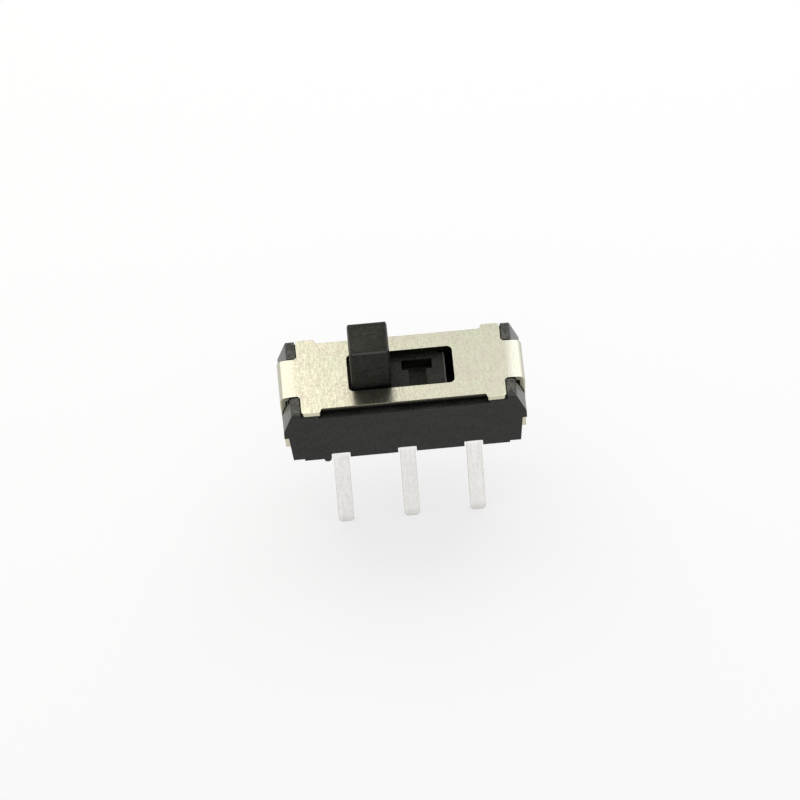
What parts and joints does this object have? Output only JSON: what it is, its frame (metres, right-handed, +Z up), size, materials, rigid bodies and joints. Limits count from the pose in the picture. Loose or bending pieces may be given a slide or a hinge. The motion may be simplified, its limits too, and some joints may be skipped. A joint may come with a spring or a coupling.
{
  "type": "slide switch",
  "caption": "Miniature slide switch: black moulded base under a folded steel cover, a square handle that slides in its slot, and flat solder pins in a row along the front edge.",
  "frame": {"origin": "centre of the base's underside, the plane that sits on the circuit board", "axes": "+X along the slide, to the right in the picture; +Y from the row of pins to the back; +Z up along the handle"},
  "size_m": [0.0092, 0.0036, 0.0086],
  "materials": {
    "base_plastic": "fine moulded matt",
    "slider_plastic": "moulded satin",
    "plated_sheet": "satin plated, rolled",
    "tinned_terminal": "matt tin",
    "contact_bronze": "bright rolled"
  },
  "bodies": {
    "housing": {"base": "base_plastic", "cover": "plated_sheet", "terminal_left": "tinned_terminal", "terminal_common": "tinned_terminal", "terminal_right": "tinned_terminal"},
    "slider": {"slider": "slider_plastic", "moving_contact": "contact_bronze"}
  },
  "joints": [
    {"name": "slide", "type": "slide", "parent": "housing", "child": "slider", "axis": [1, 0, 0], "range_m": [0, 0.00225]}
  ]
}
